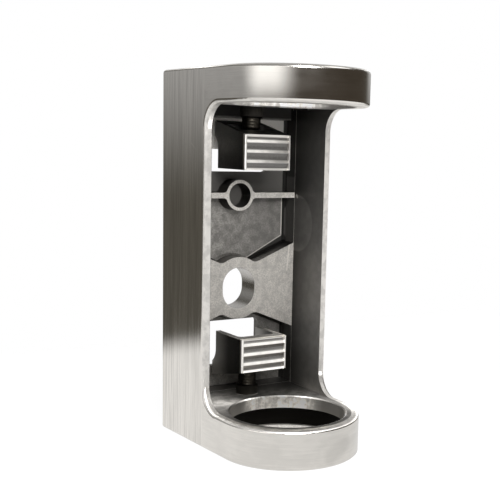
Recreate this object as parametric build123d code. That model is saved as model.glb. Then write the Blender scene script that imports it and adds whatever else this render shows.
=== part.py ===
from build123d import *
from math import radians, tan
import os

# Post wall bracket, in millimetres. X runs across the bracket, the wall is the plane y = 0 and the
# post stands at negative y. Heights are counted up from the foot while the pieces are made, and the
# finished pieces are lowered so that the origin is the middle of the bolt hole on the wall.

# post and rings
post_diameter = 48.3
post_clearance = 0.15
post_axis = 54.0
ring_wall = 5.7
bore_chamfer = 0.5
top_ring_height = 14.3
bottom_ring_height = 16.2

# outer casting
total_height = 156.0
back_width = 64.5
side_wall = 3.3
back_plate = 3.0
outer_fillet = 1.5
foot_chamfer = 0.6
inner_fillet = 1.2

# C-shaped window in the sides and front
side_depth = 36.2
window_corner = 10.0

# end caps with their screw bosses
floor_skin = 5.5
socket_recess_radius = 26.0
socket_floor = 2.7
top_skin = 6.0
screw_boss_wall = 0.9
screw_boss_height = 4.5
screw_boss_chamfer = 0.5
ledge_depth = 4.5

# rib and bow-tie web, which end on one plane in front of the back plate
web_reach = 11.3
rib_height = 103.6
rib_thickness = 2.4
rib_boss_radius = 6.8
rib_boss_wall = 1.4
rib_fillet = 1.8
bolt_height = 62.3
bolt_hole_width = 16.1
bolt_hole_height = 18.5
bolt_boss_wall = 4.7
web_waist = 21.5
web_end = 42.0
web_waist_width = 15.0
web_fillet = 4.0
web_root_bevel = 1.0

# rear openings
upper_opening_bottom = 113.7
upper_opening_top = 123.5
upper_opening_width = 37.6
lower_opening_bottom = 26.0
lower_opening_top = 46.6
lower_opening_width = 29.6
opening_corner = 2.0

# clamp wedges
wedge_width = 22.5
wedge_height = 14.6
wedge_bite = 4.7
wedge_slope = 12.5
wedge_front = 6.0
wedge_arm = 2.3
wedge_web = 4.0
wedge_corner = 2.0
wedge_edge = 0.6
wedge_back_gap = 0.2
wedge_flare = 3.2
wedge_flare_start = 6.5
wedge_flare_radius = 7.0
post_gap = 0.2
upper_wedge_drop = 11.7
lower_wedge_rise = 13.0

# clamping ridges across the wedge's front
ridge_count = 3
ridge_pitch = 4.15
ridge_base = 3.2
ridge_height = 1.0
ridge_margin = 1.0

# set screws and their seats in the wedges
screw_radius = 4.0
screw_length = 20.0
screw_clearance = 0.05
screw_axis = 20.0
point_chamfer = 0.8
end_chamfer = 0.5
socket_width = 4.0
socket_depth = 5.0
seat_drop = 2.0
seat_clearance = 0.5
point_gap = 0.1

# how far cuts run past a surface, how far added forms sink into one, and what counts as on a plane
overcut = 5.0
embed = 1.0
near = 0.05

bore_radius = post_diameter / 2 + post_clearance
ring_radius = bore_radius + ring_wall
bore_back = post_axis - bore_radius
front_reach = post_axis + ring_radius
floor_top = bottom_ring_height
ceiling = total_height - top_ring_height
screw_boss_radius = screw_radius + screw_boss_wall
wedge_travel = wedge_bite + post_gap


def plan(inset=0.0, back=0.0):
    """Outline seen from above: a straight back with sides tangent to the ring."""
    half = back_width / 2 - inset
    back_line = Line((-half, -back), (half, -back))
    ring = CenterArc((0, -post_axis), ring_radius - inset, 0, 360)
    return make_hull([*back_line.edges(), *ring.edges()])


def side_face(points):
    """A face in the side view, from (y, z) points."""
    return Plane.YZ * make_face(Polyline(*points, close=True).edges())


def pillar(radius, distance, low, high):
    """A round column at a distance from the wall, between two heights."""
    column = Cylinder(radius, high - low, align=(Align.CENTER, Align.CENTER, Align.MIN))
    return Pos(0, -distance, low) * column


def front_box(width, low, high, start, end):
    """A box centred across the bracket, between two heights and two distances from the wall."""
    box = Box(width, end - start, high - low)
    return Pos(0, -(start + end) / 2, (low + high) / 2) * box


def toward_front(face, height, reach, behind=0.0):
    """Draws a face in the front view out to a distance from the wall, from behind it."""
    return Plane.XZ * Pos(0, height, -behind) * extrude(face, reach + behind)


def window():
    """Cut that opens the front and most of the sides, between the rings."""
    front = front_reach + overcut
    face = side_face([(-side_depth, floor_top), (-front, floor_top), (-front, ceiling), (-side_depth, ceiling)])
    corners = face.vertices().group_by(Axis.Y)[-1]
    return extrude(fillet(corners, window_corner), back_width, both=True)


def outer_block():
    """The whole outside, with rounded edges and a small chamfer around the foot."""
    block = extrude(plan(), total_height) - window()
    block = fillet(block.edges().filter_by_position(Axis.Z, near, total_height + near), outer_fillet)
    return chamfer(block.edges().group_by(Axis.Z)[0], foot_chamfer)


def room(depth, back):
    """Room inside the side walls, standing on z = 0, with rounded corners at the back."""
    face = plan(side_wall, back)
    corners = face.vertices().group_by(Axis.Y)[-1]
    return extrude(fillet(corners, inner_fillet), depth)


def cavity():
    return Pos(0, 0, floor_top) * room(ceiling - floor_top, back_plate)


def pocket(depth, back):
    """Pocket behind a ring and around its screw boss, standing on z = 0."""
    behind = front_box(back_width, 0, depth, 0, side_depth)
    solid = pillar(ring_radius, post_axis, 0, depth) + pillar(screw_boss_radius, screw_axis, 0, depth)
    return (room(depth, back) & behind) - solid


def top_pocket():
    return Pos(0, 0, ceiling) * pocket(top_ring_height - top_skin, back_plate + ledge_depth)


def foot_pocket():
    return pocket(floor_top - floor_skin, back_plate)


def mouth(height, way):
    """Cone that chamfers the edge of a post bore, opening upward (way 1) or downward (way -1)."""
    depth = bore_chamfer + overcut
    low, high = (bore_radius, bore_radius + depth)[::way]
    return Pos(0, -post_axis, height + way * (depth / 2 - bore_chamfer)) * Cone(low, high, depth)


def post_bore():
    bore = pillar(bore_radius, post_axis, ceiling - overcut, total_height + overcut)
    return bore + mouth(total_height, 1) + mouth(ceiling, -1)


def post_socket():
    """Blind hole for the post in the foot: a narrow land above a wider recess."""
    land = pillar(bore_radius, post_axis, socket_floor, floor_top + overcut)
    recess = pillar(socket_recess_radius, post_axis, socket_floor, floor_top - floor_skin)
    return land + recess + mouth(floor_top, 1)


def rib():
    """Thin cross rib with its round blind boss."""
    bar = Rectangle(back_width, rib_thickness)
    face = bar + Circle(rib_boss_radius)
    joins = face.vertices().filter_by(lambda v: abs(v.X) < rib_boss_radius)
    return toward_front(fillet(joins, rib_fillet), rib_height, web_reach)


def rib_boss_hole():
    hole = toward_front(Circle(rib_boss_radius - rib_boss_wall), rib_height, web_reach + overcut)
    return hole - front_box(back_width, 0, total_height, -overcut, back_plate)


def bow_tie():
    """Thick web that widens to both side walls around the wall bolt's boss, bevelled at its root."""
    half = back_width / 2
    waist_x = web_waist_width / 2
    upper = [(-half, web_end / 2), (-waist_x, web_waist / 2), (waist_x, web_waist / 2), (half, web_end / 2)]
    lower = [(x, -z) for x, z in reversed(upper)]
    web = make_face(Polyline(*upper, *lower, close=True).edges())
    boss = SlotOverall(bolt_hole_height + 2 * bolt_boss_wall, bolt_hole_width + 2 * bolt_boss_wall, rotation=90)
    face = web + boss
    joins = face.vertices().filter_by(lambda v: abs(v.X) < half - embed)
    face = fillet(joins, web_fillet)
    root = extrude(offset(face, web_root_bevel), web_root_bevel, taper=45)
    return toward_front(face, bolt_height, web_reach) + Plane.XZ * Pos(0, bolt_height, back_plate) * root


def bolt_hole():
    hole = SlotOverall(bolt_hole_height, bolt_hole_width, rotation=90)
    return toward_front(hole, bolt_height, web_reach + overcut, overcut)


def rear_opening(width, low, high):
    hole = RectangleRounded(width, high - low, opening_corner)
    return toward_front(hole, (low + high) / 2, back_plate + overcut, overcut)


def inside_forms():
    """What stands inside the channel, trimmed to end within the side walls."""
    ledge = front_box(back_width, ceiling - screw_boss_height, ceiling + embed, 0, back_plate + ledge_depth)
    upper_boss = pillar(screw_boss_radius, screw_axis, ceiling - screw_boss_height, ceiling + embed)
    upper_boss = chamfer(upper_boss.edges().sort_by(Axis.Z)[0], screw_boss_chamfer)
    lower_boss = pillar(screw_boss_radius, screw_axis, floor_top - embed, floor_top + screw_boss_height)
    lower_boss = chamfer(lower_boss.edges().sort_by(Axis.Z)[-1], screw_boss_chamfer)
    forms = rib() + bow_tie() + ledge + upper_boss + lower_boss
    return forms & extrude(plan(side_wall / 2, back_plate / 2), total_height)


def cast_body():
    body = outer_block() - cavity() - foot_pocket() - top_pocket() + inside_forms()
    body -= post_bore() + post_socket()
    body -= pillar(screw_radius + screw_clearance, screw_axis, -overcut, total_height + overcut)
    body -= bolt_hole() + rib_boss_hole()
    body -= rear_opening(upper_opening_width, upper_opening_bottom, upper_opening_top)
    body -= rear_opening(lower_opening_width, lower_opening_bottom, lower_opening_top)
    return body


def ridged_front(front):
    """What is cut from the wedge's front to leave the ridges between two plain margins."""
    floor = front + ridge_height
    cut = side_face([(front - overcut, overcut), (floor, overcut),
                     (floor, -wedge_height - overcut), (front - overcut, -wedge_height - overcut)])
    for step in range(-1, ridge_count + 1):
        crest = -wedge_height / 2 + (step - (ridge_count - 1) / 2) * ridge_pitch
        cut -= side_face([(front, crest), (floor, crest + ridge_base / 2), (floor, crest - ridge_base / 2)])
    return extrude(cut, wedge_width / 2 - ridge_margin, both=True)


def wedge():
    """Ridged U-shaped clamp piece. Its sloping web is uppermost, and z = 0 is its upper front edge."""
    slope = tan(radians(wedge_slope))
    front = -(bore_back + wedge_bite)
    back = -(back_plate + wedge_travel + wedge_back_gap)
    arm_back = back - wedge_flare
    face = side_face([(front, -wedge_height), (front, 0), (back, (back - front) * slope), (back, -wedge_height)])
    relief = side_face([(arm_back, -wedge_height - overcut), (arm_back, -wedge_flare_start),
                        (overcut, -wedge_flare_start), (overcut, -wedge_height - overcut)])
    bend = Pos(0, arm_back + wedge_flare_radius, -wedge_flare_start) * (Plane.YZ * Circle(wedge_flare_radius))
    block = extrude(face - relief - bend, wedge_width / 2, both=True)
    block = fillet(block.edges().group_by(Axis.Y)[0], wedge_edge)

    inside = front + wedge_front
    hollow = side_face([(inside, -wedge_height - overcut), (inside, wedge_front * slope - wedge_web),
                        (overcut, (overcut - front) * slope - wedge_web), (overcut, -wedge_height - overcut)])
    inside_width = wedge_width - 2 * wedge_arm
    hollow = extrude(hollow, inside_width / 2, both=True)
    corners = hollow.edges().filter_by(Axis.Z).group_by(Axis.Y)[0]
    seat_end = screw_axis - screw_radius - seat_clearance
    seat = front_box(inside_width, seat_drop, seat_drop + wedge_height, seat_end, -front)
    return block - fillet(corners, wedge_corner) - seat - ridged_front(front)


def set_screw():
    """Set screw standing on z = 0 with its point down and its hexagon socket up."""
    rod = Cylinder(screw_radius, screw_length, align=(Align.CENTER, Align.CENTER, Align.MIN))
    rod = chamfer(rod.edges().sort_by(Axis.Z)[0], point_chamfer)
    rod = chamfer(rod.edges().sort_by(Axis.Z)[-1], end_chamfer)
    hexagon = RegularPolygon(socket_width / 2, 6, major_radius=False)
    return rod - Pos(0, 0, screw_length - socket_depth) * extrude(hexagon, socket_depth)


def upside_down(piece):
    return Rot(0, 180, 0) * piece


def all_pieces():
    upper_edge = ceiling - upper_wedge_drop
    lower_edge = floor_top + lower_wedge_rise
    upper_point = upper_edge + seat_drop + point_gap
    lower_point = lower_edge - seat_drop - point_gap
    return {
        "cast_body": cast_body(),
        "upper_clamp_wedge": Pos(0, 0, upper_edge) * wedge(),
        "lower_clamp_wedge": Pos(0, 0, lower_edge) * upside_down(wedge()),
        "upper_set_screw": Pos(0, -screw_axis, upper_point) * set_screw(),
        "lower_set_screw": Pos(0, -screw_axis, lower_point) * upside_down(set_screw()),
    }


os.makedirs("parts", exist_ok=True)
for name, piece in all_pieces().items():
    export_step(Pos(0, 0, -bolt_height) * piece, f"parts/{name}.step")
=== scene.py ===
import math

import bpy
from mathutils import Matrix, Vector


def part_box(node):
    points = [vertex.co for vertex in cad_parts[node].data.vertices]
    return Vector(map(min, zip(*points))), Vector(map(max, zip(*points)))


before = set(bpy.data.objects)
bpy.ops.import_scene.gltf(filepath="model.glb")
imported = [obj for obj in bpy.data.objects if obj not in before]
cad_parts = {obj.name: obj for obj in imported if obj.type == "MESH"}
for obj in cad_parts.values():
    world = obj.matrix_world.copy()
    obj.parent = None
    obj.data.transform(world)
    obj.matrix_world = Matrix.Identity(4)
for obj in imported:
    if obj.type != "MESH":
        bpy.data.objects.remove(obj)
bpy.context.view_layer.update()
print("frame loaded")

# Everything below is in metres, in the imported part's own frame: the wall is y = 0, the post stands at
# negative y, and z = 0 is the middle of the wall bolt hole.

mm = 0.001
footHeight = -62.3 * mm         # the foot's underside, from the bolt hole


# small helpers for shader nodes

def addNode(tree, kind, inputs=None, **settings):
    # an input is linked where its value is a socket, and set where it is a plain value
    node = tree.nodes.new(kind)
    for name, value in settings.items():
        setattr(node, name, value)
    for name, value in (inputs or {}).items():
        if isinstance(value, bpy.types.NodeSocket):
            tree.links.new(value, node.inputs[name])
        else:
            node.inputs[name].default_value = value
    return node


def coordinates(tree, place):
    return addNode(tree, "ShaderNodeSeparateXYZ", {"Vector": place}).outputs


def calc(tree, operation, a, b=0.0, c=0.0):
    return addNode(tree, "ShaderNodeMath", {0: a, 1: b, 2: c}, operation=operation).outputs[0]


def product(tree, *values):
    result = values[0]
    for value in values[1:]:
        result = calc(tree, "MULTIPLY", result, value)
    return result


def inverse(tree, mask):
    return calc(tree, "SUBTRACT", 1.0, mask)


def diagonal(tree, a, b):
    # the distance that has these two coordinates
    return calc(tree, "SQRT", calc(tree, "ADD", product(tree, a, a), product(tree, b, b)))


def fade(tree, value, start, end, startResult=0.0, endResult=1.0):
    # goes smoothly from startResult to endResult as value goes from start to end
    node = addNode(tree, "ShaderNodeMapRange", {"Value": value, "From Min": start, "From Max": end,
                                                "To Min": startResult, "To Max": endResult},
                   interpolation_type="SMOOTHSTEP")
    return node.outputs["Result"]


def below(tree, value, limit, soft):
    # 1 up to the limit, falling to 0 over the soft length past it
    return fade(tree, value, limit + soft, limit)


def above(tree, value, limit, soft):
    # 1 from the limit on, rising from 0 over the soft length before it
    return fade(tree, value, limit - soft, limit)


def between(tree, value, low, high, soft):
    # 1 between low and high, falling to 0 over the soft length outside them
    return product(tree, above(tree, value, low, soft), below(tree, value, high, soft))


def mixColor(tree, factor, a, b):
    return addNode(tree, "ShaderNodeMix", {"Factor": factor, 6: a, 7: b}, data_type="RGBA").outputs[2]


def mixValue(tree, factor, a, b):
    return addNode(tree, "ShaderNodeMix", {"Factor": factor, 2: a, 3: b}, data_type="FLOAT").outputs[0]


def noise(tree, place, scale, detail, roughness=0.55):
    node = addNode(tree, "ShaderNodeTexNoise", {"Vector": place, "Scale": scale, "Detail": detail,
                                                "Roughness": roughness})
    return node.outputs["Fac"]


def stretched(tree, place, factors):
    # a small factor draws a noise out into streaks along that axis
    return addNode(tree, "ShaderNodeMapping", {"Vector": place, "Scale": factors}).outputs["Vector"]


def vector(tree, operation, a, b=(0, 0, 0)):
    return addNode(tree, "ShaderNodeVectorMath", {0: a, 1: b}, operation=operation)


def scaled(tree, value, factor):
    return addNode(tree, "ShaderNodeVectorMath", {0: value, "Scale": factor}, operation="SCALE").outputs[0]


def lineMark(tree, place, start, end, width):
    # 1 on the straight line from start to end, falling to 0 at its width
    start, end = Vector(start), Vector(end)
    along = end - start
    away = vector(tree, "SUBTRACT", place, start).outputs[0]
    share = vector(tree, "DOT_PRODUCT", away, along / along.length_squared).outputs["Value"]
    share = calc(tree, "MINIMUM", calc(tree, "MAXIMUM", share, 0.0), 1.0)
    gap = vector(tree, "SUBTRACT", away, scaled(tree, along, share)).outputs[0]
    return fade(tree, vector(tree, "LENGTH", gap).outputs["Value"], width, width * 0.3)


def grey(level, warmth=0.0):
    # a plain grey with a little yellow in it
    return (level * (1 + warmth), level, level * (1 - 1.6 * warmth), 1.0)


def greyRange(tree, factor, levels, warmth):
    # a grey that goes from the first level to the second as factor goes from 0 to 1
    return mixColor(tree, factor, *(grey(level, warmth) for level in levels))


def shaded(tree, factor, level, spread, warmth):
    # a grey that varies by its spread, as a share of its level
    return greyRange(tree, factor, (level * (1 - spread), level * (1 + spread)), warmth)


def stained(tree, color, texture, start, end, share, stain):
    # lays up to that share of the stain over a color, as the texture goes from start to end
    return mixColor(tree, fade(tree, texture, start, end, 0.0, share), color, stain)


def newMaterial(name):
    material = bpy.data.materials.new(name)
    material.use_nodes = True
    tree = material.node_tree
    shader = tree.nodes["Principled BSDF"]
    place = addNode(tree, "ShaderNodeTexCoord").outputs["Object"]
    return material, tree, shader, place


def setBump(tree, shader, heights):
    # heights is a list of (height output, depth in metres), laid over each other
    normal = None
    for height, depth in heights:
        inputs = {"Height": height, "Distance": depth, "Strength": 1.0}
        if normal is not None:
            inputs["Normal"] = normal
        normal = addNode(tree, "ShaderNodeBump", inputs).outputs["Normal"]
    tree.links.new(normal, shader.inputs["Normal"])


def dress(nodeName, material):
    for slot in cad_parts[nodeName].material_slots:
        slot.material = material


# the casting

castBody = {
    # where its shapes are, so that the finishes can follow them
    "postAxis": 54.0 * mm,          # in front of the wall
    "ringRadius": 30.0 * mm,
    "boreRadius": 24.3 * mm,
    "socketRadius": 26.0 * mm,      # recess below the lower bore
    "socketHeights": (2.7 * mm, 10.7 * mm),         # above the foot
    "backHalfWidth": 32.25 * mm,
    "wallThickness": 3.3 * mm,
    "windowBack": 36.2 * mm,        # the C-shaped window starts here, in front of the wall
    "windowCorner": 10.0 * mm,
    "windowHeights": (16.2 * mm, 141.7 * mm),       # above the foot
    "screwAxis": 20.0 * mm,         # in front of the wall
    "screwBossRadius": 4.9 * mm,
    "boltHole": (8.05 * mm, 1.2 * mm),      # radius of its ends, and half its straight length
    "webFront": 11.3 * mm,          # rib and web end here, in front of the wall
    "webHeights": (-24.0 * mm, 49.0 * mm),          # the web's lowest flank and the rib boss's highest
    # where the web's root meets the back plate
    "webRoot": {"middleHeight": 7.95 * mm, "slope": 0.53, "start": 9.0 * mm},
    "plateFront": 3.0 * mm,         # in front of the wall
    "plateHalfWidth": 27.3 * mm,
    "upperPlateHeights": (60.0 * mm, 74.5 * mm),    # back plate above the upper rear opening
    "openingHeight": 51.4 * mm,     # lower edge of that opening
    "ribHeight": 41.3 * mm,
    "ribHoleRadius": 5.4 * mm,
    "hollow": (31.0 * mm, 76.0 * mm),       # under the top: how far it reaches from the wall, and its height

    # where greys change over a length, from one x, y or z to another
    "sideFade": (24.0 * mm, -24.0 * mm),    # x: cast faces, painted light from their right greys to their lighter left greys
    "wallBackFade": -6.0 * mm,              # y: side walls, their painted shade lightens from here to the window
    "wallHeightFade": (-10.0 * mm, 60.0 * mm),      # z: side walls, painted shade from their low greys to their darker high greys
    "floorFade": (-8.0 * mm, -28.0 * mm),   # y: inner floor, from painted shadow to light
    "floorSlant": 0.35,                     # and the painted shadow ends sooner at the left
    "floorFrontFade": (-30.0 * mm, -42.0 * mm),     # y: inner floor, to its front grey
    "lowerRimHighlightFade": (-46.0 * mm, -56.0 * mm),       # y: where the top ring's lower rim shows its painted highlight
    "roundMark": {"y": -14.5 * mm, "z": 28.7 * mm, "radius": 13.2 * mm, "grey": 0.6, "share": 0.12},

    # how they look
    "warmth": 0.038,
    "machinedWarmth": 0.03,
    "brushedGrey": 0.74,            # outside, brushed
    "brushedSpread": 0.12,
    "ringSpread": 0.048,
    "brushedRoughness": 0.13,
    "brushedAnisotropy": 0.88,
    "edgeGrey": 0.79,               # edge of the window
    "edgeRoughness": 0.5,
    "rimHighlightGrey": 0.95,                # painted highlight on the rims of the rings
    "castGreys": (0.36, 0.62),      # inside, as cast, with painted light from its darker right side to its lighter left
    "castRoughness": 0.64,
    "lowWallShadedGreys": (0.035, 0.31),  # painted shade inside the side walls near the bolt hole, dark at the back and lighter in front
    "highWallShadedGreys": (0.02, 0.11),  # the same painted shade near the top, darker still
    "wallStainGrey": 0.03,
    "wallRoughness": 0.5,
    "floorShadowGreys": (0.08, 0.46, 0.30),       # inner floor with painted shadow: its dark back right, its light front left, then in front
    "floorRoughness": 0.85,
    "groundGrey": 0.72,             # rib, web and boss faces
    "groundRoughness": 0.62,
    "flatRoughness": 0.4,           # the flat back and foot
    # painted light on the back plate above the upper rear opening
    "upperPlateLitGrey": 0.85,
    "upperPlateRoughness": 0.45,
    "hollowShadeGrey": 0.08,             # painted shade in the hollow under the top
    "recessShade": 0.45,            # how much darker the painted shadow in the hollow above the rib and in the rib's hole is
    "cornerShadeGrey": 0.03,             # painted shade in the inner corners beside the back plate
    "flankShadeGrey": 0.07,              # painted shade on the flanks of the rib, web and boss, and on the web's root
    # painted shade on the screw bosses
    "screwBossShadeGrey": 0.04,
    "screwBossWarmth": 0.08,
    "darkRoughness": 0.5,
    "holeGrey": 0.5,
    "holeRoughness": 0.25,
    "boreGrey": 0.90,
    "boreSideShade": 0.30,
    "boreRoughness": 0.65,
    # painted light on the socket's floor
    "socketFloorLitGrey": 0.80,
    # painted shade on the socket's recessed wall
    "socketWallShadeGrey": 0.006,
    "socketWallWarmth": 0.06,
    "dullMetallic": 0.2,            # the socket's floor and the upper plate, less metallic so that their painted light reads as diffuse
    "grainDepth": 0.05 * mm,
    "brushingDepth": 0.001 * mm,
}

# small marks in mm: start, end, width, grey and strength
castMarks = [
    ((26.3, -11.3, 18.5), (25.3, -11.3, 6.9), 0.5, 0.95, 0.7),      # long light scratch on the web
    ((11.4, -11.3, 11.0), (11.4, -11.3, -8.0), 0.9, 0.75, 0.35),    # faint upright band on the web
    ((-31.2, -25.5, 63.5), (-30.8, -29.9, 60.5), 0.25, 1.0, 0.6),   # fine scratch on the left face
    ((26.8, -3.0, 40.0), (26.8, -3.0, 23.0), 0.3, 0.95, 0.8),       # painted highlight down the plate's corner
    ((8.4, -3.0, 12.5), (26.8, -3.0, 22.3), 0.35, 0.95, 0.6),       # and a painted highlight along the top of the web's root
    ((28.4, -13.2, 41.3), (28.4, -13.8, 40.6), 0.9, 0.6, 0.5),      # light spot at the rib's end
    ((2.0, -84.0, -58.0), (10.0, -82.3, -54.0), 5.0, 0.45, 0.25),   # faint painted reflection of something warm on the bottom ring
]


def depthInOutline(tree, x, y, design):
    # how far a point lies inside the outline seen from above: two sides tangent to the ring
    halfWidth, axis = design["backHalfWidth"], design["postAxis"]
    tilt = math.atan2(axis, halfWidth) - math.acos(design["ringRadius"] / math.hypot(halfWidth, axis))
    sideway = calc(tree, "ADD", product(tree, calc(tree, "ABSOLUTE", x), math.cos(tilt)),
                   product(tree, y, math.sin(tilt)))
    sideDepth = calc(tree, "SUBTRACT", halfWidth * math.cos(tilt), sideway)
    fromAxis = calc(tree, "ADD", y, axis)
    ringDepth = calc(tree, "SUBTRACT", design["ringRadius"], diagonal(tree, x, fromAxis))
    inFront = fade(tree, fromAxis, 0.5 * mm, -2.0 * mm)     # where the ring's curve takes over from the sides
    return mixValue(tree, inFront, sideDepth, ringDepth)


def gapToWindow(tree, y, z, bottom, top, design):
    # how far a point lies from the window's outline seen from the side, with its rounded corners
    corner = design["windowCorner"]
    behind = calc(tree, "ADD", y, design["windowBack"] + corner)
    fromMiddle = calc(tree, "ABSOLUTE", calc(tree, "SUBTRACT", z, (bottom + top) / 2))
    beyond = calc(tree, "SUBTRACT", fromMiddle, (top - bottom) / 2 - corner)
    reach = diagonal(tree, calc(tree, "MAXIMUM", behind, 0.0), calc(tree, "MAXIMUM", beyond, 0.0))
    return calc(tree, "ABSOLUTE", calc(tree, "SUBTRACT", reach, corner))


def castPlaces(tree, place, design):
    # where the casting's finishes and its painted light and shade lie, each as a mask from 0 to 1
    # the small lengths in mm set how softly a mask ends, and how far past the edge of its face
    low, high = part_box("cast_body")
    bottom, top = (low.z + height for height in design["windowHeights"])
    socketBottom, socketTop = (low.z + height for height in design["socketHeights"])
    webFront, plateFront, windowBack = (-design[key] for key in ("webFront", "plateFront", "windowBack"))
    wall = design["wallThickness"]
    x, y, z = coordinates(tree, place)
    across = calc(tree, "ABSOLUTE", x)

    # the outside, and the rounded edge of the window
    depth = depthInOutline(tree, x, y, design)
    brushed = calc(tree, "MAXIMUM", below(tree, depth, wall - 0.3 * mm, 0.2 * mm),
                   above(tree, z, high.z - 0.1 * mm, 0.3 * mm))
    fromWindow = gapToWindow(tree, y, z, bottom, top, design)
    # painted highlight on the rings' upper and lower rims
    upperRim = product(tree, below(tree, depth, 0.7 * mm, 0.2 * mm),
                       above(tree, z, high.z - 0.5 * mm, 0.1 * mm))
    lowerRim = product(tree, fade(tree, y, *design["lowerRimHighlightFade"]),
                       between(tree, z, top - 0.1 * mm, top + 0.4 * mm, 0.1 * mm))
    backOrFoot = calc(tree, "MAXIMUM", above(tree, y, -0.06 * mm, 0.06 * mm),
                      below(tree, z, low.z + 0.06 * mm, 0.06 * mm))

    # the two bores round the post axis
    fromAxis = calc(tree, "ADD", y, design["postAxis"])
    axisDistance = diagonal(tree, x, fromAxis)
    inBore = below(tree, axisDistance, design["boreRadius"] + 0.5 * mm, 0.2 * mm)
    socketWall = product(tree, below(tree, z, socketTop - 0.3 * mm, 0.3 * mm),
                         below(tree, axisDistance, design["socketRadius"] + 0.3 * mm, 0.3 * mm),
                         above(tree, z, socketBottom + 0.3 * mm, 0.2 * mm))
    socketFloor = product(tree, inBore,
                          between(tree, z, socketBottom - 1.0 * mm, socketBottom + 0.1 * mm, 0.2 * mm))

    # the screw bosses and the wall bolt hole
    screwDistance = diagonal(tree, x, calc(tree, "ADD", y, design["screwAxis"]))
    screwBoss = product(tree, below(tree, screwDistance, design["screwBossRadius"] + 0.1 * mm, 0.2 * mm),
                        between(tree, z, bottom + 0.2 * mm, top - 0.2 * mm, 0.1 * mm))
    holeRadius, holeStraight = design["boltHole"]
    pastStraight = calc(tree, "SUBTRACT", calc(tree, "ABSOLUTE", z), holeStraight)
    holeDistance = diagonal(tree, x, calc(tree, "MAXIMUM", pastStraight, 0.0))

    # what stands on the back plate: the web with its root, and the rib with its boss
    # painted shade on the flanks, and on the web's root below
    flank = product(tree, between(tree, y, webFront + 0.2 * mm, plateFront - 1.0 * mm, 0.1 * mm),
                    between(tree, z, *design["webHeights"], 1.0 * mm))
    webRoot = design["webRoot"]
    aboveRoot = calc(tree, "SUBTRACT", z, product(tree, across, webRoot["slope"]))
    root = product(tree, below(tree, aboveRoot, webRoot["middleHeight"] - 0.2 * mm, 0.4 * mm),
                   above(tree, y, webFront + 0.3 * mm, 0.2 * mm), above(tree, z, 1.0 * mm, 1.0 * mm),
                   above(tree, across, webRoot["start"], 2.0 * mm))
    # painted shadow above the rib and in the rib's hole
    aboveRib = between(tree, z, design["ribHeight"] + 1.0 * mm, design["openingHeight"], 1.0 * mm)
    ribHoleDistance = diagonal(tree, x, calc(tree, "SUBTRACT", z, design["ribHeight"]))
    inRibHole = below(tree, ribHoleDistance, design["ribHoleRadius"] + 0.1 * mm, 0.2 * mm)
    recess = product(tree, calc(tree, "MAXIMUM", aboveRib, inRibHole),
                     above(tree, y, webFront + 0.5 * mm, 0.4 * mm))
    upperPlate = product(tree, between(tree, z, *design["upperPlateHeights"], 0.5 * mm),
                         above(tree, y, plateFront - 0.5 * mm, 0.5 * mm))
    # painted shade in the corners beside the back plate
    plateCorner = product(tree, above(tree, across, design["plateHalfWidth"], 0.4 * mm),
                          above(tree, y, plateFront, 2.0 * mm))
    hollowFront, hollowHeight = design["hollow"]

    roundMark = design["roundMark"]
    markDistance = diagonal(tree, calc(tree, "SUBTRACT", y, roundMark["y"]),
                            calc(tree, "SUBTRACT", z, roundMark["z"]))
    slantedDepth = calc(tree, "ADD", y, product(tree, x, design["floorSlant"]))
    return {
        "brushed": brushed,
        "edge": product(tree, brushed, below(tree, fromWindow, 0.2 * mm, 1.0 * mm)),
        "rim": calc(tree, "MAXIMUM", upperRim, lowerRim),
        "flatFace": backOrFoot,
        "wall": product(tree, inverse(tree, brushed), below(tree, depth, wall + 0.2 * mm, 0.6 * mm)),
        "floor": between(tree, z, bottom - 1.0 * mm, bottom + 0.2 * mm, 0.2 * mm),
        "behind": above(tree, y, -1.8 * mm, 0.4 * mm),
        "bore": product(tree, inBore, above(tree, z, socketTop, 0.3 * mm)),
        "socketWall": socketWall,
        "socketFloor": socketFloor,
        "screwBoss": screwBoss,
        "hole": below(tree, holeDistance, holeRadius + 0.1 * mm, 0.2 * mm),
        "ground": between(tree, y, webFront - 0.04 * mm, webFront + 0.04 * mm, 0.08 * mm),
        "flank": flank,
        "root": root,
        "recess": recess,
        "upperPlate": upperPlate,
        "plateCorner": plateCorner,
        "hollow": product(tree, above(tree, z, hollowHeight, 1.0 * mm),
                          above(tree, y, -hollowFront, 2.0 * mm)),
        "roundMark": below(tree, markDistance, roundMark["radius"] - 0.8 * mm, 0.8 * mm),
        "ring": below(tree, y, windowBack - 2.0 * mm, 4.0 * mm),
        "leftness": fade(tree, x, *design["sideFade"]),
        "frontness": fade(tree, y, design["wallBackFade"], windowBack),
        "highness": fade(tree, z, *design["wallHeightFade"]),
        "floorLitShare": fade(tree, slantedDepth, *design["floorFade"]),
        "floorFront": fade(tree, y, *design["floorFrontFade"]),
        "aside": calc(tree, "DIVIDE", x, axisDistance),
        "around": calc(tree, "DIVIDE", fromAxis, axisDistance),
    }


def brushing(tree, place, onRing):
    # streaks that run up the sides and round the rings
    upward = mixValue(tree, 0.4, noise(tree, stretched(tree, place, (1, 1, 0.02)), 2000, 3),
                      noise(tree, stretched(tree, place, (1, 1, 0.05)), 280, 5, 0.7))
    roundward = mixValue(tree, 0.65, noise(tree, stretched(tree, place, (0.03, 0.03, 1)), 1900, 4),
                         noise(tree, stretched(tree, place, (0.6, 0.6, 1)), 110, 4))
    return mixValue(tree, onRing, upward, roundward)


def brushedColor(tree, streaks, onRing, design):
    spread = fade(tree, onRing, 0.0, 1.0, design["brushedSpread"], design["ringSpread"])
    lighter = product(tree, fade(tree, streaks, 0.39, 0.61, -1.0, 1.0), spread)
    plain = grey(design["brushedGrey"], design["warmth"])[:3]
    return scaled(tree, plain, calc(tree, "ADD", 1.0, lighter))


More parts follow.
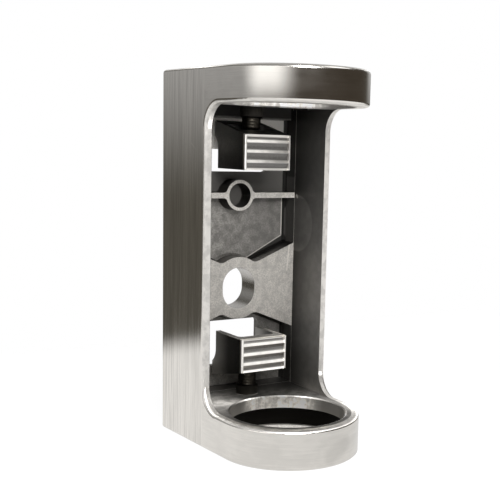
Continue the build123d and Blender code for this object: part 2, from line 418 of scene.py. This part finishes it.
def castColor(tree, leftness, speckle, clouds, design):
    # painted light: the cast faces are darker at their right and lighter at their left
    level, warmth = design["castGreys"][0], design["warmth"]
    color = greyRange(tree, leftness, design["castGreys"], warmth)
    color = stained(tree, color, speckle, 0.66, 0.34, 0.5, grey(level * 0.4, warmth))
    return stained(tree, color, clouds, 0.36, 0.66, 0.6, grey(level * 0.5, warmth))


def groundColor(tree, speckle, clouds, design):
    level, warmth = design["groundGrey"], design["warmth"]
    color = shaded(tree, fade(tree, speckle, 0.34, 0.66), level, 0.16, warmth)
    return stained(tree, color, clouds, 0.4, 0.7, 0.5, grey(level * 0.66, warmth))


def wallColor(tree, parts, clouds, design):
    # painted shade: the side walls are darkest at the back and at the top
    warmth, roundMark = design["warmth"], design["roundMark"]
    lowWall = greyRange(tree, parts["frontness"], design["lowWallShadedGreys"], warmth)
    highWall = greyRange(tree, parts["frontness"], design["highWallShadedGreys"], warmth)
    color = mixColor(tree, parts["highness"], lowWall, highWall)
    marked = product(tree, parts["roundMark"], roundMark["share"])
    color = mixColor(tree, marked, color, grey(roundMark["grey"], warmth))
    return stained(tree, color, clouds, 0.35, 0.65, 0.15, grey(design["wallStainGrey"], warmth))


def floorColor(tree, parts, speckle, clouds, design):
    # painted shadow on the inner floor, dark at its back right and light at its front left
    dark, light, front = (grey(level, design["warmth"]) for level in design["floorShadowGreys"])
    color = mixColor(tree, parts["floorLitShare"], dark, light)
    color = mixColor(tree, parts["floorFront"], color, front)
    color = stained(tree, color, clouds, 0.36, 0.66, 0.5, dark)
    return stained(tree, color, speckle, 0.66, 0.34, 0.4, dark)


def boreColor(tree, place, parts, speckle, design):
    # light and dark patches around the machined bores, with painted shade at both sides
    level, aside = design["boreGrey"], parts["aside"]
    around = addNode(tree, "ShaderNodeCombineXYZ", {"X": aside, "Y": parts["around"]}).outputs[0]
    patches = mixValue(tree, 0.5, noise(tree, around, 5.0, 3), noise(tree, place, 420, 4))
    patches = product(tree, fade(tree, patches, 0.4, 0.58), fade(tree, speckle, 0.25, 0.55, 0.7, 1.0))
    color = shaded(tree, patches, level, 0.28, design["machinedWarmth"])
    leftSide = product(tree, fade(tree, aside, -0.1, -0.42),
                       fade(tree, parts["highness"], 0.0, 1.0, 1.0, 0.5))
    sides = calc(tree, "MAXIMUM", fade(tree, aside, 0.82, 0.96), leftSide)
    return mixColor(tree, sides, color, grey(level * design["boreSideShade"], design["warmth"]))


def castBodyMaterial(design, marks):
    material, tree, shader, place = newMaterial("castBody")
    parts = castPlaces(tree, place, design)
    streaks = brushing(tree, place, parts["ring"])
    speckle = noise(tree, place, 1800, 5, 0.65)
    clouds = noise(tree, place, 260, 5)
    cast = castColor(tree, parts["leftness"], speckle, clouds, design)
    ground = groundColor(tree, speckle, clouds, design)

    warmth, machinedWarmth = design["warmth"], design["machinedWarmth"]
    castRoughness, darkRoughness = design["castRoughness"], design["darkRoughness"]
    recessShadowGrey = design["castGreys"][0] * design["recessShade"]
    screwBoss = shaded(tree, speckle, design["screwBossShadeGrey"], 0.2, design["screwBossWarmth"])
    edge = shaded(tree, fade(tree, clouds, 0.35, 0.6), design["edgeGrey"], 0.12, machinedWarmth)
    socketFloor = shaded(tree, fade(tree, speckle, 0.36, 0.64), design["socketFloorLitGrey"], 0.3, warmth)
    smooth = design["brushedRoughness"]

    # each finish, or painted light or shade, with its color and roughness, laid over the ones before it
    finishes = [
        ("recess", grey(recessShadowGrey, warmth), castRoughness),
        ("root", grey(design["flankShadeGrey"], warmth), darkRoughness),
        ("hollow", grey(design["hollowShadeGrey"], warmth), castRoughness),
        ("upperPlate", grey(design["upperPlateLitGrey"], warmth), design["upperPlateRoughness"]),
        ("plateCorner", grey(design["cornerShadeGrey"], warmth), castRoughness),
        ("floor", floorColor(tree, parts, speckle, clouds, design), design["floorRoughness"]),
        ("wall", wallColor(tree, parts, clouds, design), design["wallRoughness"]),
        ("flank", grey(design["flankShadeGrey"], warmth), darkRoughness),
        ("ground", ground, design["groundRoughness"]),
        ("screwBoss", screwBoss, darkRoughness),
        ("behind", cast, castRoughness),
        ("hole", shaded(tree, clouds, design["holeGrey"], 0.05, warmth), design["holeRoughness"]),
        ("brushed", brushedColor(tree, streaks, parts["ring"], design),
         fade(tree, streaks, 0.3, 0.7, smooth - 0.02, smooth + 0.02)),
        ("edge", edge, design["edgeRoughness"]),
        ("rim", grey(design["rimHighlightGrey"], machinedWarmth), design["edgeRoughness"]),
        ("flatFace", ground, design["flatRoughness"]),
        ("bore", boreColor(tree, place, parts, speckle, design), design["boreRoughness"]),
        ("socketWall", grey(design["socketWallShadeGrey"], design["socketWallWarmth"]), darkRoughness),
        ("socketFloor", socketFloor, darkRoughness),
    ]
    color, roughness = cast, castRoughness
    for part, finishColor, finishRoughness in finishes:
        color = mixColor(tree, parts[part], color, finishColor)
        roughness = mixValue(tree, parts[part], roughness, finishRoughness)
    for start, end, width, level, strength in marks:
        start, end = ([value * mm for value in point] for point in (start, end))
        mark = lineMark(tree, place, start, end, width * mm)
        color = mixColor(tree, product(tree, mark, strength), color, grey(level, warmth))
    tree.links.new(color, shader.inputs["Base Color"])
    tree.links.new(roughness, shader.inputs["Roughness"])

    inside = inverse(tree, parts["brushed"])
    dullPlate = product(tree, parts["upperPlate"], inside, inverse(tree, parts["behind"]))
    dull = calc(tree, "MAXIMUM", parts["socketFloor"], dullPlate)
    tree.links.new(fade(tree, dull, 0.0, 1.0, 1.0, design["dullMetallic"]), shader.inputs["Metallic"])

    shader.inputs["Anisotropic"].default_value = design["brushedAnisotropy"]
    tangent = addNode(tree, "ShaderNodeTangent", direction_type="RADIAL", axis="Z").outputs[0]
    tree.links.new(tangent, shader.inputs["Tangent"])
    setBump(tree, shader, [(product(tree, speckle, inside), design["grainDepth"]),
                           (product(tree, streaks, parts["brushed"]), design["brushingDepth"])])
    return material


dress("cast_body", castBodyMaterial(castBody, castMarks))
print("casting dressed")


# the clamp wedges

clampWedge = {
    "frontHeight": 14.6 * mm,
    "ridgeDepth": 1.0 * mm,
    "ridgePitch": 4.15 * mm,
    "crestHighlightLine": (0.1 * mm, 0.9 * mm),      # painted highlight, this far above each crest
    "ridgedHalfHeight": 6.2 * mm,   # the ridges end here, and the front is plain beyond
    "sideMargin": 1.1 * mm,
    "marginGrey": 0.95,             # plain margins round the ridges
    "crestHighlightGrey": 0.74,              # painted highlight on the upper side of every ridge
    "grooveShadeGrey": 0.21,             # painted shade on the rest of the ridges
    "faceRoughness": 0.36,
    # painted shade on the arms
    "armShadeGrey": 0.08,
    "armRoughness": 0.36,
    "glintEdge": (0.9, 0.7),         # grey and share of the painted highlight along the arms' upper edges
    "lowArmLitGrey": 0.40,             # painted light on the back part of the lower wedge's arms
    "lowArmHeights": (20.0 * mm, -10.0 * mm),       # it comes in from the first z to the second
    "lowArmDepths": (-24.0 * mm, -13.0 * mm),       # and from the first y to the second
    "warmth": 0.030,
    "grainDepth": 0.04 * mm,
}


def clampWedgeMaterial(design, nodeName, frontMiddle):
    material, tree, shader, place = newMaterial(nodeName)
    low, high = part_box(nodeName)
    x, y, z = coordinates(tree, place)
    across = calc(tree, "ABSOLUTE", x)
    warmth = design["warmth"]
    speckle = noise(tree, place, 1900, 5, 0.65)
    clouds = noise(tree, place, 260, 4)

    # the arms in painted shade, with painted light on the lower wedge's back part and painted highlights
    # along their upper edges
    arm = shaded(tree, fade(tree, speckle, 0.38, 0.62), design["armShadeGrey"], 0.2, warmth)
    lowBack = product(tree, fade(tree, z, *design["lowArmHeights"]), fade(tree, y, *design["lowArmDepths"]))
    arm = mixColor(tree, lowBack, arm, grey(design["lowArmLitGrey"], warmth))
    glintGrey, glintShare = design["glintEdge"]
    glint = product(tree, above(tree, across, high.x - 0.2 * mm, 0.3 * mm),
                   above(tree, z, high.z - 0.2 * mm, 0.3 * mm), glintShare)
    arm = mixColor(tree, glint, arm, grey(glintGrey, warmth))

    # painted shade on the ridges, apart from a painted highlight above each crest
    pitch = design["ridgePitch"]
    fromMiddle = calc(tree, "SUBTRACT", z, frontMiddle)
    fromCrest = calc(tree, "WRAP", fromMiddle, pitch / 2, -pitch / 2)
    dull = inverse(tree, between(tree, fromCrest, *design["crestHighlightLine"], 0.4 * mm))
    upDown = calc(tree, "ABSOLUTE", fromMiddle)
    ridged = product(tree, below(tree, upDown, design["ridgedHalfHeight"], 0.4 * mm),
                     below(tree, across, high.x - design["sideMargin"], 0.2 * mm))
    crest = shaded(tree, fade(tree, clouds, 0.35, 0.65), design["crestHighlightGrey"], 0.08, warmth)
    groove = shaded(tree, fade(tree, speckle, 0.35, 0.65), design["grooveShadeGrey"], 0.1, warmth)
    front = mixColor(tree, ridged, grey(design["marginGrey"], warmth), mixColor(tree, dull, crest, groove))

    onFront = below(tree, y, low.y + design["ridgeDepth"] + 0.1 * mm, 0.5 * mm)
    tree.links.new(mixColor(tree, onFront, arm, front), shader.inputs["Base Color"])
    tree.links.new(mixValue(tree, onFront, design["armRoughness"], design["faceRoughness"]),
                   shader.inputs["Roughness"])
    shader.inputs["Metallic"].default_value = 1.0
    setBump(tree, shader, [(speckle, design["grainDepth"])])
    return material


halfFront = clampWedge["frontHeight"] / 2
frontMiddles = {"upper_clamp_wedge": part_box("upper_clamp_wedge")[0].z + halfFront,
                "lower_clamp_wedge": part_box("lower_clamp_wedge")[1].z - halfFront}
for wedgeName, frontMiddle in frontMiddles.items():
    dress(wedgeName, clampWedgeMaterial(clampWedge, wedgeName, frontMiddle))
print("clamp wedges dressed")


# the set screws

setScrew = {
    "pitch": 1.25 * mm,
    "threadDepth": 0.2 * mm,
    "wearDepth": 0.03 * mm,
    "grey": 0.035,
    "spread": 0.4,
    "warmth": 0.12,
    "roughness": 0.42,
}


def setScrewMaterial(design, nodeName):
    material, tree, shader, place = newMaterial(nodeName)
    low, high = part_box(nodeName)
    middle = (low + high) / 2
    x, y, z = coordinates(tree, place)

    # the thread's height follows the turn round the screw's axis
    turn = calc(tree, "ARCTAN2", calc(tree, "SUBTRACT", y, middle.y), calc(tree, "SUBTRACT", x, middle.x))
    phase = calc(tree, "ADD", calc(tree, "DIVIDE", z, design["pitch"]), calc(tree, "DIVIDE", turn, math.tau))
    thread = calc(tree, "PINGPONG", phase, 0.5)
    wear = noise(tree, place, 900, 5)
    color = shaded(tree, fade(tree, wear, 0.4, 0.7), design["grey"], design["spread"], design["warmth"])
    tree.links.new(color, shader.inputs["Base Color"])
    shader.inputs["Metallic"].default_value = 1.0
    shader.inputs["Roughness"].default_value = design["roughness"]
    setBump(tree, shader, [(thread, design["threadDepth"]), (wear, design["wearDepth"])])
    return material


for screwName in ("upper_set_screw", "lower_set_screw"):
    dress(screwName, setScrewMaterial(setScrew, screwName))
print("set screws dressed")


# the white table that the bracket stands on

tableDesign = {
    "size": 7.0,
    "backEdge": 0.150,          # its far edge behind the wall plane
    "edgeSoftness": 0.034,
    "roundFade": (2.2, 3.4),    # radius over which it fades out elsewhere
    "grey": 0.86,
    "roughness": 0.7,
    "cameraWhite": 1.06,
    "cameraShare": 0.90,
    "mirrorLeft": 0.88,         # how bright the metal sees it, left and behind
    "mirrorNearShadow": 0.72,         # painted shadow, just in front of the bracket
    "mirrorFar": 1.0,           # farther out in front
    "mirrorShare": 0.92,
    "nearFade": (0.14, 0.35),   # radius over which near becomes far
    "frontFade": (-0.02, 0.14),     # how far forward left becomes near
    "rightward": 0.55,          # how much the right counts as forward
}


def buildTable(design):
    half = design["size"] / 2
    corners = [(-half, -half), (half, -half), (half, half), (-half, half)]
    mesh = bpy.data.meshes.new("table")
    mesh.from_pydata([(x, y, footHeight) for x, y in corners], [], [(0, 1, 2, 3)])
    table = bpy.data.objects.new("table", mesh)
    bpy.context.scene.collection.objects.link(table)

    material, tree, shader, place = newMaterial("table")
    x, y = coordinates(tree, place)[:2]
    shader.inputs["Base Color"].default_value = grey(design["grey"])
    shader.inputs["Roughness"].default_value = design["roughness"]

    # plain white to the camera, and a painted shadow a little darker toward the front and right as the metal
    # sees it
    radius = diagonal(tree, x, y)
    forward = calc(tree, "SUBTRACT", product(tree, x, design["rightward"]), y)
    inFront = fade(tree, radius, *design["nearFade"], design["mirrorNearShadow"], design["mirrorFar"])
    mirror = mixValue(tree, fade(tree, forward, *design["frontFade"]), design["mirrorLeft"], inFront)
    rays = addNode(tree, "ShaderNodeLightPath").outputs
    level = mixValue(tree, rays["Is Camera Ray"], mirror, design["cameraWhite"])
    glow = addNode(tree, "ShaderNodeEmission", {"Color": (1, 1, 1, 1), "Strength": level}).outputs[0]
    share = calc(tree, "ADD", product(tree, rays["Is Camera Ray"], design["cameraShare"]),
                 product(tree, rays["Is Glossy Ray"], design["mirrorShare"]))
    share = calc(tree, "MINIMUM", share, 1.0)
    lit = addNode(tree, "ShaderNodeMixShader", {0: share, 1: shader.outputs[0], 2: glow}).outputs[0]

    # it ends softly at the back edge and all round
    soft = design["edgeSoftness"]
    present = product(tree, below(tree, y, design["backEdge"] - soft, 2 * soft),
                      fade(tree, radius, *design["roundFade"], 1.0, 0.0))
    clear = addNode(tree, "ShaderNodeBsdfTransparent").outputs[0]
    ended = addNode(tree, "ShaderNodeMixShader", {0: present, 1: clear, 2: lit}).outputs[0]
    tree.links.new(ended, tree.nodes["Material Output"].inputs["Surface"])
    mesh.materials.append(material)


buildTable(tableDesign)
print("table laid")


# the studio around it, in degrees: 0 is straight in front of the wall, +90 is to the bracket's right

studio = {
    "frontRoom": (0.052, 0.042, 0.032),     # dark room between the soft boxes
    "backRoom": (0.092, 0.086, 0.073),
    "roomFade": (-0.2, 0.6),                # from one to the other, by the direction's y
    "ceiling": {"low": 30, "soft": 20, "level": 0.4},
    "boxes": {
        "farLeft": {"from": -148, "to": -92, "softBack": 34, "softFront": 14, "low": 5, "high": 24,
                    "softHeight": 9, "level": 0.38},
        "left": {"from": -84, "to": -66, "softBack": 36, "softFront": 42, "low": 3.4, "high": 24,
                 "softHeight": 0.5, "level": 1.50},
        "rear": {"from": 122, "to": 168, "softBack": 20, "softFront": 22, "low": 6, "high": 50,
                 "softHeight": 6, "level": 0.6},
        "front": {"from": 30, "to": 70, "softBack": 12, "softFront": 12, "low": 36, "high": 56,
                  "softHeight": 6, "level": 1.7},
    },
    "lampTarget": (0, -0.03, 0.02),         # about the middle of the bracket
    "lamps": {
        "key": {"turn": -16, "height": 24, "distance": 0.9, "size": 0.35, "power": 7.6},
        "high": {"turn": -16, "height": 38, "distance": 0.9, "size": 0.25, "power": 5.0},
    },
}


def buildWorld(design):
    world = bpy.data.worlds.new("studio")
    bpy.context.scene.world = world
    world.use_nodes = True
    tree = world.node_tree
    background = tree.nodes["Background"]
    x, y, z = coordinates(tree, addNode(tree, "ShaderNodeTexCoord").outputs["Generated"])
    turn = calc(tree, "DEGREES", calc(tree, "ARCTAN2", x, product(tree, y, -1.0)))
    height = calc(tree, "DEGREES", calc(tree, "ARCSINE", z))

    color = mixColor(tree, fade(tree, y, *design["roomFade"]), (*design["frontRoom"], 1.0),
                     (*design["backRoom"], 1.0))
    ceiling = design["ceiling"]
    overhead = fade(tree, height, ceiling["low"], ceiling["low"] + ceiling["soft"])
    color = mixColor(tree, overhead, color, grey(ceiling["level"]))
    for box in design["boxes"].values():
        inBox = product(tree, above(tree, turn, box["from"], box["softBack"]),
                        below(tree, turn, box["to"], box["softFront"]),
                        between(tree, height, box["low"], box["high"], box["softHeight"]))
        color = mixColor(tree, inBox, color, grey(box["level"]))
    seen = addNode(tree, "ShaderNodeLightPath").outputs["Is Camera Ray"]
    tree.links.new(mixColor(tree, seen, color, (1, 1, 1, 1)), background.inputs["Color"])
    background.inputs["Strength"].default_value = 1.0


def addLamp(name, target, turn, height, distance, size, power):
    # a square lamp that looks at the target from a turn and a height in degrees
    turn, height = math.radians(turn), math.radians(height)
    way = Vector((math.sin(turn) * math.cos(height), -math.cos(turn) * math.cos(height), math.sin(height)))
    lamp = bpy.data.lights.new(name, "AREA")
    lamp.shape = "SQUARE"
    lamp.size = size
    lamp.energy = power
    holder = bpy.data.objects.new(name, lamp)
    bpy.context.scene.collection.objects.link(holder)
    holder.location = Vector(target) + way * distance
    holder.rotation_euler = (-way).to_track_quat("-Z", "Y").to_euler()


buildWorld(studio)
for lampName, lampDesign in studio["lamps"].items():
    addLamp(lampName, studio["lampTarget"], **lampDesign)
print("studio lit")


# the camera, fitted to the photograph

cameraDesign = {
    "place": (-0.2118, -0.3829, 0.0640),
    "turnRight": 35.13,     # degrees from straight at the wall
    "lookDown": 9.13,
    "roll": 1.74,
    "lens": 69.2,
    "sensorWidth": 36.0,
    "shift": (-0.158, 0.101),
}


def buildCamera(design):
    turn, down, roll = (math.radians(design[key]) for key in ("turnRight", "lookDown", "roll"))
    forward = Vector((math.sin(turn) * math.cos(down), math.cos(turn) * math.cos(down), -math.sin(down)))
    level = Vector((math.cos(turn), -math.sin(turn), 0))
    upright = level.cross(forward)
    right = math.cos(roll) * level + math.sin(roll) * upright
    up = -math.sin(roll) * level + math.cos(roll) * upright
    data = bpy.data.cameras.new("camera")
    data.sensor_width = design["sensorWidth"]
    data.lens = design["lens"]
    data.shift_x, data.shift_y = design["shift"]
    data.clip_start = 0.01
    camera = bpy.data.objects.new("camera", data)
    bpy.context.scene.collection.objects.link(camera)
    turned = Matrix((right, up, -forward)).transposed().to_4x4()
    camera.matrix_world = Matrix.Translation(design["place"]) @ turned
    bpy.context.scene.camera = camera


buildCamera(cameraDesign)
bpy.context.scene.view_settings.view_transform = "Standard"
print("camera set")
